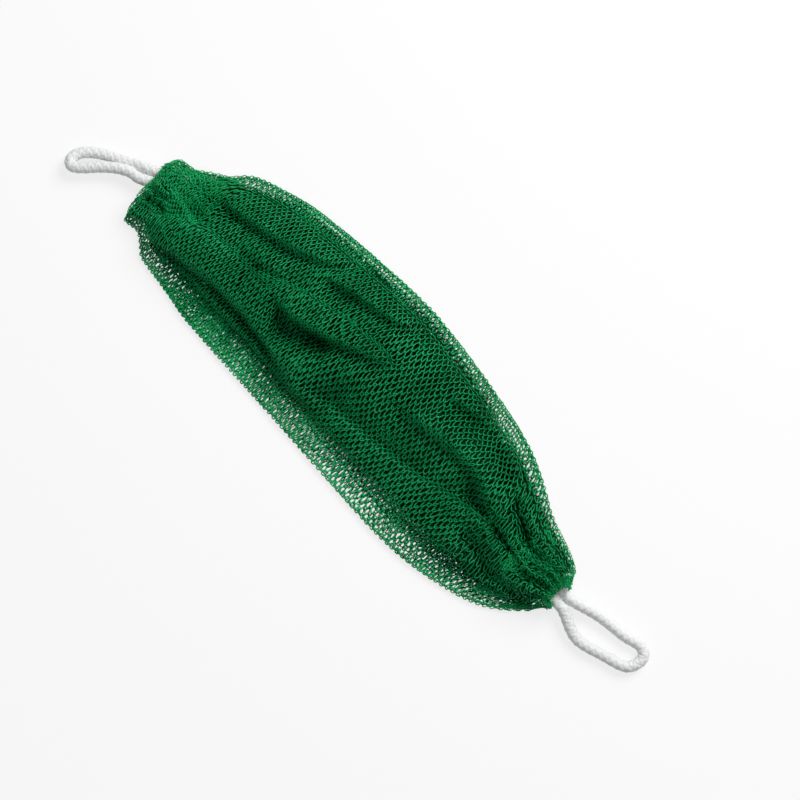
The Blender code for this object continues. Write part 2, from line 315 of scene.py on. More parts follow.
@dataclass(frozen=True)
class Wander:
    """Smooth seeded unevenness over a plane, between about -1 and 1."""

    seed: int
    reach: float
    waves: int = 7

    def at(self, x: Array, y: Array) -> Array:
        """Reads the unevenness.

        Args:
            x: Places along the scrubber.
            y: Places across it.

        Returns:
            One value for each place.
        """
        draw = np.random.default_rng(self.seed)
        total = np.zeros(np.broadcast(x, y).shape)
        for _ in range(self.waves):
            turn, start = draw.uniform(0, FULL_TURN, 2)
            rate = FULL_TURN / (self.reach * draw.uniform(0.6, 1.8))
            total = total + np.sin(rate * (x * math.cos(turn) + y * math.sin(turn)) + start)
        return total / math.sqrt(self.waves)


def from_line(x: Array, y: Array, line: tuple) -> tuple[Array, Array, float]:
    """Measures places from a line of points.

    Args:
        x: Places along the scrubber.
        y: Places across it.
        line: The line's points in plan.

    Returns:
        Distances from the line, positive on its left, the runs along it, and its length.
    """
    corners = np.array(line, float)
    spans = np.linalg.norm(np.diff(corners, axis=0), axis=1)
    starts = np.concatenate(([0.0], np.cumsum(spans)))
    nearest = np.full(np.broadcast(x, y).shape, np.inf)
    signed, run = np.zeros(nearest.shape), np.zeros(nearest.shape)
    for index, span in enumerate(spans):
        ax, ay = corners[index]
        dx, dy = (corners[index + 1] - corners[index]) / span
        along = (x - ax) * dx + (y - ay) * dy
        across = (y - ay) * dx - (x - ax) * dy
        held = np.clip(along, 0, span)
        distance = np.hypot(along - held, across)
        closer = distance < nearest
        nearest = np.where(closer, distance, nearest)
        signed = np.where(closer, np.where(across < 0, -distance, distance), signed)
        run = np.where(closer, starts[index] + held, run)
    return signed, run, float(starts[-1])


@dataclass(frozen=True)
class Lap:
    """A fold whose one side lies over the other. The low side is on the left of its line.

    Lift and drop are the heights that the two sides gain and lose, each over its own reach. The fold dies
    out at its ends, over a share of its length.
    """

    line: tuple
    lift: float
    lift_reach: float
    drop: float
    drop_reach: float
    edge: float = 1.6
    fade_start: float = 0.06
    fade_share: float = 0.22

    def at(self, x: Array, y: Array) -> Array:
        """Gives the fold's share of the height.

        Args:
            x: Places along the scrubber.
            y: Places across it.

        Returns:
            The height that the fold adds at each place.
        """
        signed, run, length = from_line(x, y, self.line)
        fade = 1.0
        for to_end in (run, length - run):
            fade = fade * smoothstep(0, self.fade_share * length, to_end + self.fade_start * length)
        high = self.lift * bell(signed, self.lift_reach)
        low = -self.drop * bell(signed, self.drop_reach)
        side = smoothstep(-self.edge, self.edge, signed)
        return fade * (high * (1 - side) + low * side)


def groove(line: tuple, depth: float, reach: float) -> Lap:
    """A fold that sinks alike on both sides of its line."""
    return Lap(line, -depth, reach, depth, reach)


def spaced(y: Array, z: Array, crowding: Array, points: int) -> Array:
    """Spaces points along lines across the scrubber.

    Args:
        y: Stations by places across.
        z: The heights of those places.
        crowding: How close together the points lie there.
        points: The points of each line, without the one at its end.

    Returns:
        Stations by points by (y, z).
    """
    steps = np.hypot(np.diff(y, axis=1), np.diff(z, axis=1)) * crowding[:, 1:]
    runs = np.concatenate((np.zeros((len(y), 1)), np.cumsum(steps, axis=1)), axis=1)
    share = np.linspace(0, 1, points, endpoint=False)
    found = np.empty((len(y), points, 2))
    for index, run in enumerate(runs):
        found[index, :, 0] = np.interp(share * run[-1], run, y[index])
        found[index, :, 1] = np.interp(share * run[-1], run, z[index])
    return found


# Upper edge of the front bulge, over which the sleeve rises to its crown
BULGE_EDGE = ((-20, -30), (0, -26), (32, -22), (60, -17.5), (80, -11.5), (114, -5.4))


@dataclass(frozen=True)
class NetForm:
    """The form of the filled sleeve: its plan, its flat see-through flanges, its crown and its folds.

    A span is the stretch, along the scrubber or away from a line or an edge, over which something sets in
    or dies out.
    """

    half_length: float = 176.5
    # Stations along the net with the distance from its middle line to its front and back edge
    front_edge: tuple = (
        (-176.5, 40.6), (-166, 40.4), (-160, 37.6), (-157, 37.8), (-152.5, 47.6), (-146, 48.8),
        (-120, 51.6), (-105, 54.2), (-80, 55.0), (-20, 56.2), (40, 57.8), (70, 58.4), (90, 57.0),
        (110, 53.6), (130, 48.4), (146, 42.0), (158, 33.0), (166, 24.0), (172, 18.0), (176.5, 16.0),
    )
    back_edge: tuple = (
        (-176.5, 9.0), (-170, 10.0), (-160, 12.6), (-150, 18.6), (-141, 33.0), (-130, 38.4), (-120, 42.0),
        (-100, 48.4), (-70, 53.0), (-30, 57.0), (-2, 58.4), (20, 56.6), (50, 53.2), (80, 48.4), (100, 43.6),
        (120, 35.0), (135, 26.4), (146, 22.8), (160, 18.8), (170, 13.6), (176.5, 8.0),
    )
    edge_ease: float = 6.0
    edge_samples: int = 9
    flange_height: float = 3.0
    front_flange: float = 19.0
    back_flange: float = 10.0
    end_flange: float = 4.0
    front_flange_span: tuple = (-156, -118)
    back_flange_span: tuple = (-160, -138)
    crown: float = 24.0
    neck: float = 16.5
    floor: float = 1.0
    folds: tuple = (
        # Front flap at the left: its upper edge, then its lower edge over the long dark groove
        Lap(
            ((-163, -30), (-152, -18), (-145, -14), (-128, -8), (-112, -6), (-94, -6), (-70, -7)),
            2.5, 12, 2, 10,
        ),
        Lap(((-36, -33), (-60, -29.5), (-80, -27), (-105, -27.5), (-131, -33), (-150, -38)), 3, 12, 9, 7),
        # Ridge across the middle: its upper edge, and the dark pocket under its lower edge
        Lap(((-94, -3), (-62, 8), (-32, 16), (-2, 19), (14, 15)), 3, 10, 3, 10),
        Lap(((-26, 1), (-36, -2), (-44, -5), (-56, -7.5), (-68, -7)), 3, 8, 9, 13),
        Lap(((4, 14), (-8, 10), (-22, 4), (-36, -1), (-48, -5)), 2, 8, 3, 9),
        groove(((-54, -10), (-57, -21), (-62, -32)), 5, 8),
        # Front bulge, which laps over the broad valley that runs on to the right-hand neck
        Lap(((-32, -33), *BULGE_EDGE, (150, -6)), 1.8, 10, 3.5, 9),
        # Folds along the back, each lying over the one in front of it
        Lap(((-50, 52), (-60, 34), (-80, 23), (-100, 17), (-137, 9)), 4, 14, 5, 8, 2.4),
        Lap(((4, 50), (-8, 38), (-20, 34), (-40, 29.5), (-64, 23)), 4, 12, 5, 8, 2.4),
        Lap(((102, 31), (80, 36), (60, 33.5), (42, 28)), 3.5, 10, 5, 8, 2.4),
        Lap(((106, 3), (85, 9), (65, 9), (45, 5), (25, 3)), 2.5, 12, 4, 12, 4),
        groove(((104, 24), (96, 27), (86, 29)), 3, 4),
        groove(((-96, -4), (-86, -1), (-76, 2)), 4, 3.5),
        # Pleats that run together at the right-hand neck, two of them as dark slits
        groove(((88, 0), (100, -2.5), (110, -3)), 4, 4),
        Lap(((160, 8), (149, 6.5), (138, 8), (127, 12), (114, 18)), 1, 6, 10, 6, 1.2),
        groove(((118, 19), (135, 18.5), (150, 16), (163, 11)), 5, 3),
        Lap(((151, -8.5), (140, -6.5), (128, -5), (114, -3)), 2, 6, 8, 4.5, 1.0),
        groove(((102, -19), (120, -21), (135, -25), (157, -26)), 5, 5),
        # Pleats of the blunt left-hand end
        groove(((-154, 7), (-145, 7), (-130, 10)), 2, 5),
        groove(((-158, -16), (-150, -10), (-138, -5)), 5, 6),
        groove(((-172, -22), (-160, -20), (-150, -15)), 4, 4),
    )
    fold_depth: float = 1.5
    least_rise: float = 1.0
    unevenness: Wander = Wander(5, 26.0)
    unevenness_height: float = 0.8
    # How steeply the dome rises from its front and back flanges, and how much gentler both are at the left
    front_swell: float = 0.3
    back_swell: float = 0.42
    end_swell: float = 0.18
    end_swell_span: tuple = (-125, -170)
    bulge_drop: float = 10.0
    bulge_fall: tuple = (-2, 27)
    bulge_left: tuple = (-45, -5)
    bulge_right: tuple = (112, 66)
    pleats: float = 5.0
    pleat_height: float = 4.4
    pleat_wander: float = 1.5
    pleat_shift: float = 90.0
    left_pleats: float = 0.5
    right_pleat_span: tuple = (106, 156)
    left_pleat_span: tuple = (-134, -164)
    # How rows crowd in the depths of the pleats, and where the sleeve turns under
    pleat_crowding: float = 1.5
    pleat_crowded_from: float = 8.0
    right_crowd_span: tuple = (95, 140)
    left_crowd_span: tuple = (-125, -155)
    rim: float = 1.2
    rim_crowding: float = 1.5
    rim_reach: float = 2.5
    # How far the underside lifts off the table: unevenly, in the pleats of its ends, and inside its edges
    under_lift: float = 0.5
    under_lift_most: float = 1.4
    under_shift: float = 300.0
    under_pleat: float = 1.3
    under_pleat_shift: float = 25.0
    under_span: tuple = (2, 14)
    top_share: float = 0.545
    profile_points: int = 420
    # The cord's tails, which the net lies over as a lump
    tails: tuple = (((-180.0, -11.0), (-156.0, 2.3)), ((174.5, -4.0), (148.0, -4.0)))
    tail_cover: float = 11.8
    tail_span: tuple = (8.0, 13.0)
    tail_room: float = 1.6
    lump_swell: float = 0.12

    def edge(self, x: Array, front: bool) -> Array:
        """Gives the distance from the middle line to the front or back edge.

        Args:
            x: Places along the scrubber.
            front: Whether the front edge is meant.

        Returns:
            A distance for each place.
        """
        table = np.array(self.front_edge if front else self.back_edge)
        # The mean over a short stretch rounds the corners between the stations.
        shifts = self.edge_ease * np.linspace(-1, 1, self.edge_samples)
        return sum(np.interp(x + shift, table[:, 0], table[:, 1]) for shift in shifts) / len(shifts)

    def top(self, x: Array, y: Array) -> Array:
        """Gives the height of the yarn's middle on the upper side.

        Args:
            x: Places along the scrubber.
            y: Places across it, between the edges.

        Returns:
            A height for each place.
        """
        across, swell, rise = self.dome(x, y)
        folded = self.fold_depth * sum(fold.at(x, y) for fold in self.folds)
        folded = folded + self.unevenness_height * self.unevenness.at(x, y)
        folded = folded + self.pleat_height * self.pleated(x, y, across)
        folded = folded - self.bulge_drop * self.on_bulge(x, y)
        height = self.flange_height + np.maximum(rise + folded, self.least_rise) * swell
        lump = (self.tail_cover - self.flange_height) * self.over_tails(x, y) * swell**self.lump_swell
        return np.maximum(height, self.flange_height + lump)

    def dome(self, x: Array, y: Array) -> tuple[Array, Array, Array]:
        """Gives the dome between the flanges, without its folds.

        Args:
            x: Places along the scrubber.
            y: Places across it.

        Returns:
            Shares of the way across the dome, shares of its full rise, and its full rise over the flanges.
        """
        fade = 1 - (x / self.half_length) ** 4
        front_fade = fade * smoothstep(*self.front_flange_span, x)
        low = -self.edge(x, True) + self.end_flange + (self.front_flange - self.end_flange) * front_fade
        back_fade = fade * smoothstep(*self.back_flange_span, x)
        high = self.edge(x, False) - self.end_flange - (self.back_flange - self.end_flange) * back_fade
        across = np.clip((y - low) / (high - low), 0, 1)
        crown = self.neck + (self.crown - self.neck) * (1 - np.abs(x / self.half_length) ** 3)
        steepness = np.where(across < 0.5, self.front_swell, self.back_swell)
        steepness = steepness + self.end_swell * smoothstep(*self.end_swell_span, x)
        return across, np.sin(math.pi * across) ** steepness, crown - self.flange_height

    def pleated(self, x: Array, y: Array, across: Array) -> Array:
        """Gives the pleats that gather the net towards both mouths.

        Args:
            x: Places along the scrubber.
            y: Places across it.
            across: The same places as shares of the way from the front to the back.

        Returns:
            Values between -1 and 1, which die out towards the middle.
        """
        gather = smoothstep(*self.right_pleat_span, x)
        gather = gather + self.left_pleats * smoothstep(*self.left_pleat_span, x)
        wander = self.pleat_wander * self.unevenness.at(x + self.pleat_shift, y)
        return gather * np.sin(FULL_TURN * self.pleats * across + wander)

    def on_bulge(self, x: Array, y: Array) -> Array:
        """Gives how far places lie on the low front bulge, from 0 to 1."""
        above = 1 - smoothstep(*self.bulge_fall, from_line(x, y, BULGE_EDGE)[0])
        return above * smoothstep(*self.bulge_left, x) * smoothstep(*self.bulge_right, x)

    def over_tails(self, x: Array, y: Array) -> Array:
        """Gives how far places lie over the cord's tails, from 0 to 1."""
        cover = [1 - smoothstep(*self.tail_span, np.abs(from_line(x, y, tail)[0])) for tail in self.tails]
        return np.maximum(*cover)

    def section(self, stations: Array, points: int) -> Array:
        """Draws the sleeve's closed section at every station.

        Args:
            stations: Places along the scrubber, one for each section.
            points: Points round each section, from the front edge over the top to the back and under.

        Returns:
            Stations by points by (y, z), evenly along the top and evenly along the underside.
        """
        x = stations[:, None]
        even = np.linspace(0, 1, self.profile_points)
        share = (1 - np.cos(np.linspace(0, math.pi, self.profile_points))) / 2 * 0.5 + even * 0.5
        front, back = -self.edge(x, True), self.edge(x, False)
        y = front + (back - front) * share
        inset = np.minimum(y - front, back - y)
        lift = np.sqrt(np.clip(1 - (1 - np.clip(inset / self.rim, 0, 1)) ** 2, 0, 1))
        middle = (self.flange_height + self.floor) / 2
        upper = middle + (self.top(x, y) - middle) * lift
        sag = self.under_lift * (1 + self.unevenness.at(x + self.under_shift, y))
        sag = np.clip(sag, 0, self.under_lift_most)
        gathered = 1 + self.pleated(x + self.under_pleat_shift, y, share)
        sag = sag + self.under_pleat * gathered * (x / self.half_length) ** 8
        sag = np.minimum(sag, self.under_pleat * 2 - self.tail_room * self.over_tails(x, y))
        lower = middle + (self.floor + sag * smoothstep(*self.under_span, inset) - middle) * lift
        # Most rows of a gathered end lie in the depths of its pleats.
        gather = smoothstep(*self.right_crowd_span, x) + smoothstep(*self.left_crowd_span, x)
        _, swell, rise = self.dome(x, y)
        sunk = smoothstep(0.0, self.pleat_crowded_from, self.flange_height + rise * swell - upper)
        crowding = 1 + self.pleat_crowding * gather * sunk
        crowding = crowding + self.rim_crowding * bell(inset, self.rim_reach)
        on_top = round(points * self.top_share)
        top = spaced(y, upper, crowding, on_top)
        under = spaced(y[:, ::-1], lower[:, ::-1], crowding[:, ::-1], points - on_top)
        return np.concatenate((top, under), axis=1)


@dataclass(frozen=True)
class Mouth:
    """Where a hand loop leaves the net, the way it points, and the route of its free stretch.

    The route's points are millimetres in plan from the mouth, and up from where a cord lies on the table.
    """

    side: Side
    place: tuple
    turn: float
    route: tuple

    @property
    def centre(self) -> Array:
        """The mouth on the axis that the loop swings about."""
        return np.array(self.place)

    @property
    def outward(self) -> Array:
        """The way out of the net."""
        return np.array((math.cos(self.turn), math.sin(self.turn), 0.0))

    @property
    def sideways(self) -> Array:
        """The way across both legs of the loop."""
        return np.array((-math.sin(self.turn), math.cos(self.turn), 0.0))


LEFT_MOUTH = Mouth(
    Side.LEFT,
    (-180.0, -11.0, 6.7),
    math.radians(209),
    (
        (-14, -3.4, 0.8), (-24.4, -8.6, 0), (-33.5, -14.6, 0), (-39.6, -21.4, 0.4), (-40.6, -27.8, 1.6),
        (-36.6, -30.6, 3), (-31.2, -26.5, 3.4), (-24.7, -18.9, 3.6), (-17.3, -11.9, 3.6), (-9.8, -7.4, 3.6),
    ),
)
RIGHT_MOUTH = Mouth(
    Side.RIGHT,
    (174.5, -4.0, 6.7),
    0.0,
    (
        (9, -4.6, 2.6), (25, -9.6, 0.3), (43, -4.6, 0), (56, 0, 0), (60, 6, 0), (59.5, 12.6, 0),
        (53.5, 15.2, 0), (43, 12.4, 0), (25, 9.6, 0.3), (9, 4.6, 2.6),
    ),
)


def even_line(points: list, step: float) -> Array:
    """Runs a smooth curve through points.

    Args:
        points: The points to pass through.
        step: The distance between the points that come back.

    Returns:
        Points at even steps along the curve.
    """
    knots = [np.array(point, float) for point in points]
    knots = [2 * knots[0] - knots[1], *knots, 2 * knots[-1] - knots[-2]]
    share = np.linspace(0, 1, SPAN_POINTS, endpoint=False)[:, None]
    fine = []
    for before, start, end, after in zip(knots, knots[1:], knots[2:], knots[3:]):
        bend = 2 * before - 5 * start + 4 * end - after
        swing = 3 * start - before - 3 * end + after
        fine.append(0.5 * (2 * start + (end - before) * share + bend * share**2 + swing * share**3))
    fine.append(knots[-2][None, :])
    line = np.concatenate(fine)
    run = np.concatenate(([0.0], np.cumsum(np.linalg.norm(np.diff(line, axis=0), axis=1))))
    even = np.linspace(0, run[-1], max(round(run[-1] / step), 2) + 1)
    return np.column_stack([np.interp(even, run, line[:, axis]) for axis in range(3)])


def line_length(points: Array) -> float:
    """The length of a line of points."""
    return float(np.linalg.norm(np.diff(points, axis=0), axis=1).sum())


def unit(ways: Array) -> Array:
    """Brings each of some directions to a length of 1."""
    return ways / np.maximum(np.linalg.norm(ways, axis=-1, keepdims=True), 1e-9)


def tube_mesh(name: str, lines: list, radius: float, bevel: int) -> Mesh:
    """Makes round tubes along lines as one mesh, through a bevelled curve.

    Args:
        name: The mesh's name.
        lines: One array for each tube, of x, y, z and a share of the radius where that varies.
        radius: The tubes' radius.
        bevel: The curve's bevel resolution: 0 gives 4 sides, and each step 2 more.

    Returns:
        A mesh of open tubes, line after line and ring after ring.
    """
    curve = bpy.data.curves.new(name, "CURVE")
    curve.dimensions = "3D"
    curve.bevel_depth = radius * MM
    curve.bevel_resolution = bevel
    for line in lines:
        spline = curve.splines.new("POLY")
        spline.points.add(len(line) - 1)
        knots = np.ones((len(line), 4))
        knots[:, :3] = line[:, :3] * MM
        spline.points.foreach_set("co", knots.ravel())
        if line.shape[1] > 3:
            spline.points.foreach_set("radius", line[:, 3])
    holder = bpy.data.objects.new(name, curve)
    bpy.context.scene.collection.objects.link(holder)
    ready = holder.evaluated_get(bpy.context.evaluated_depsgraph_get())
    mesh = bpy.data.meshes.new_from_object(ready)
    bpy.data.objects.remove(holder)
    bpy.data.curves.remove(curve)
    mesh.name = name
    return mesh


def close_ends(mesh: Mesh) -> None:
    """Closes the open ends of a mesh's tubes, and turns its faces outwards."""
    shape = bmesh.new()
    shape.from_mesh(mesh)
    rims = [edge for edge in shape.edges if edge.is_boundary]
    bmesh.ops.holes_fill(shape, edges=rims, sides=0)
    bmesh.ops.recalc_face_normals(shape, faces=shape.faces[:])
    for face in shape.faces:
        face.smooth = True
    shape.to_mesh(mesh)
    shape.free()


def add_piece(name: str, mesh: Mesh, material: Material) -> Object:
    """Links a mesh as a piece that wears one material."""
    piece = bpy.data.objects.new(name, mesh)
    bpy.context.scene.collection.objects.link(piece)
    mesh.materials.clear()
    mesh.materials.append(material)
    return piece


@dataclass
class KnitSurface:
    """A surface that yarn is knitted on: rings of points, with a share of the way round for each column.

    Tucks are the depths by which every other row is drawn in behind its neighbours where the net gathers.
    """

    points: Array
    tucks: Array
    closed: bool
    normals: Array = field(init=False)

    def __post_init__(self) -> None:
        """Works out the outward normals."""
        ring = self.points
        if self.closed:
            around = (np.roll(ring, -1, axis=1) - np.roll(ring, 1, axis=1)) / 2
        else:
            around = np.gradient(ring, axis=1)
        self.normals = unit(np.cross(np.gradient(ring, axis=0), around))

    def at(self, station: Array, share: Array) -> tuple[Array, Array, Array]:
        """Reads places on the surface between its points.

        Args:
            station: Positions along the rings, counted in rings.
            share: Positions round them, from 0 to 1.

        Returns:
            The places, the normals and the tucks there.
        """
        rings, columns = self.points.shape[:2]
        station = np.clip(station, 0, rings - 1.001)
        low = station.astype(int)
        part = (station - low)[:, None]
        if self.closed:
            column = (share % 1.0) * columns
            first = column.astype(int) % columns
            second = (first + 1) % columns
        else:
            column = np.clip(share, 0, 1) * (columns - 1.001)
            first = column.astype(int)
            second = first + 1
        side = (column - np.floor(column))[:, None]
        found = []
        for values in (self.points, self.normals, self.tucks[:, :, None]):
            near = values[low, first] * (1 - side) + values[low, second] * side
            far = values[low + 1, first] * (1 - side) + values[low + 1, second] * side
            found.append(near * (1 - part) + far * part)
        return found[0], found[1], found[2][:, 0]


@dataclass(frozen=True)
class Knit:
    """How the net is knitted: rows of waves that run lengthwise and hook into their neighbours.

    Hook is how far a wave reaches, in rows, and depth how far it dips behind the row that it hooks into.
    """

    rows: int
    yarn: float = 0.6
    hook: float = 0.74
    depth: float = 0.8
    points_in_wave: int = 8
    roundness: float = 0.06
    flatness: float = 0.16
    tuck_reach: float = 0.16
    climb: float = 0.4
    least_step: float = 0.25
    # Reaches of what the waves wander by: slant, phase, size, spread of the rows, and slack of single loops
    wanders: tuple = (55.0, 90.0, 24.0, 60.0, 7.0)
    wander_pitch: float = 4.0
    slant: float = 0.5
    phase_drift: float = 1.2
    phase_slack: float = 0.45
    size_drift: float = 0.13
    size_slack: float = 0.16
    row_drift: float = 0.16
    # How much bulkier yarn is that nothing stretches, under which height, and where in plan
    bulk: float = 0.5
    bulky_span: tuple = (5.6, 4.0)
    bulk_at_ends: float = 0.3
    bulk_end_span: tuple = (150, 105)
    left_front_bulk: float = 0.7
    left_span: tuple = (-40, -90)
    front_span: tuple = (10, -10)
    strip_margin: float = 0.06
    plies: float = 2.0
    seed: int = 1

    def lines(self, surface: KnitSurface, wave: Array) -> list:
        """Lays the rows of yarn on a surface.

        Args:
            surface: Where the rows lie.
            wave: The length of a wave at each ring of the surface.

        Returns:
            One array for each row, of x, y, z and the share of the yarn's radius.
        """
        middle = surface.points.mean(axis=1)
        steps = np.abs(np.diff(middle[:, 0])) + self.climb * np.abs(np.diff(middle[:, 2]))
        steps = np.maximum(steps, self.least_step)
        phase = np.concatenate(([0.0], np.cumsum(FULL_TURN * steps / ((wave[1:] + wave[:-1]) / 2))))
        count = int(phase[-1] / FULL_TURN * self.points_in_wave)
        even = np.arange(count) * FULL_TURN / self.points_in_wave
        station = np.interp(even, phase, np.arange(len(phase)))
        along = np.interp(station, np.arange(len(phase)), middle[:, 0])
        rate = np.gradient(even, station)
        wanders = [Wander(self.seed + index, reach) for index, reach in enumerate(self.wanders)]
        laid = []
        for row in range(self.rows):
            across = np.full(count, row * self.wander_pitch)
            skew, drift, size, spread, slack = (wander.at(along, across) for wander in wanders)
            turn = even + math.pi * row + self.phase_drift * drift + self.phase_slack * slack
            # The lobes towards the front are flat and round, and those towards the back come to a point.
            swing = np.sin(turn) - self.flatness * np.cos(2 * turn)
            reach = self.hook * (1 + self.size_drift * size + self.size_slack * slack)
            tuck = surface.at(station, np.full(count, (row + 0.5) / self.rows))[2]
            drawn_in = row % 2
            reach = reach * (1 - self.tuck_reach * tuck if drawn_in else 1 + self.tuck_reach * tuck)
            share = (row + 0.5 + reach * swing + self.row_drift * spread) / self.rows
            shift = -self.roundness * FULL_TURN * np.sin(2 * turn) + self.slant * skew * swing
            place, normal, _ = surface.at(station + shift / rate, share)
            place = place - normal * (self.depth * swing + tuck * drawn_in)[:, None]
            laid.append(np.column_stack((place, 1 + self.bulk * self.slack_yarn(*place.T))))
        return laid

    def slack_yarn(self, x: Array, y: Array, z: Array) -> Array:
        """Gives how slack the yarn is: it is so in the flat flanges, and most at the left front.

        Args:
            x: Places along the scrubber.
            y: Places across it.
            z: Their heights.

        Returns:
            Shares of the yarn's bulk.
        """
        slack = smoothstep(*self.bulky_span, z)
        away_from_ends = smoothstep(*self.bulk_end_span, np.abs(x))
        slack = slack * (self.bulk_at_ends + (1 - self.bulk_at_ends) * away_from_ends)
        left_front = smoothstep(*self.left_span, x) * smoothstep(*self.front_span, y)
        return slack * (1 + self.left_front_bulk * left_front)

    def mesh(self, name: str, lines: list, bevel: int = 0) -> Mesh:
        """Makes the yarn of some rows.

        Args:
            name: The mesh's name.
            lines: The rows' points.
            bevel: The roundness of the yarn, as for tube_mesh.

        Returns:
            A closed mesh with a "yarn" UV map in turns of ply and an "OFBake" map of a strip for each row.
        """
        mesh = tube_mesh(name, lines, self.yarn / 2, bevel)
        own = np.empty(len(mesh.loops) * 2, np.float32)
        mesh.uv_layers["UVMap"].data.foreach_get("uv", own)
        along, around = own.reshape(-1, 2).T
        corners_in_ring = (4 + 2 * bevel) * 4
        counts = np.array([len(line) - 1 for line in lines])
        strip = np.repeat(np.arange(len(lines)), counts * corners_in_ring)
        length = np.array([line_length(line[:, :3]) for line in lines])[strip]
        in_strip = self.strip_margin + (1 - 2 * self.strip_margin) * around
        maps = {
            "yarn": (along * length, around * self.plies),
            "OFBake": (along, (strip + in_strip) / len(lines)),
        }
        mesh.uv_layers.remove(mesh.uv_layers["UVMap"])
        for label, values in maps.items():
            layer = mesh.uv_layers.new(name=label)
            layer.data.foreach_set("uv", np.column_stack(values).astype(np.float32).ravel())
        close_ends(mesh)
        return mesh


def add_net(name: str, mesh: Mesh, material: Material, node: str) -> Object:
    """Adds a piece of net that rides on the scrubber in place of its solid.

    Args:
        name: The piece's name.
        mesh: Its yarn.
        material: What it wears.
        node: The solid that it replaces.

    Returns:
        The piece.
    """
    piece = add_piece(name, mesh, material)
    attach(piece, "scrubber")
    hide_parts(node)
    return piece


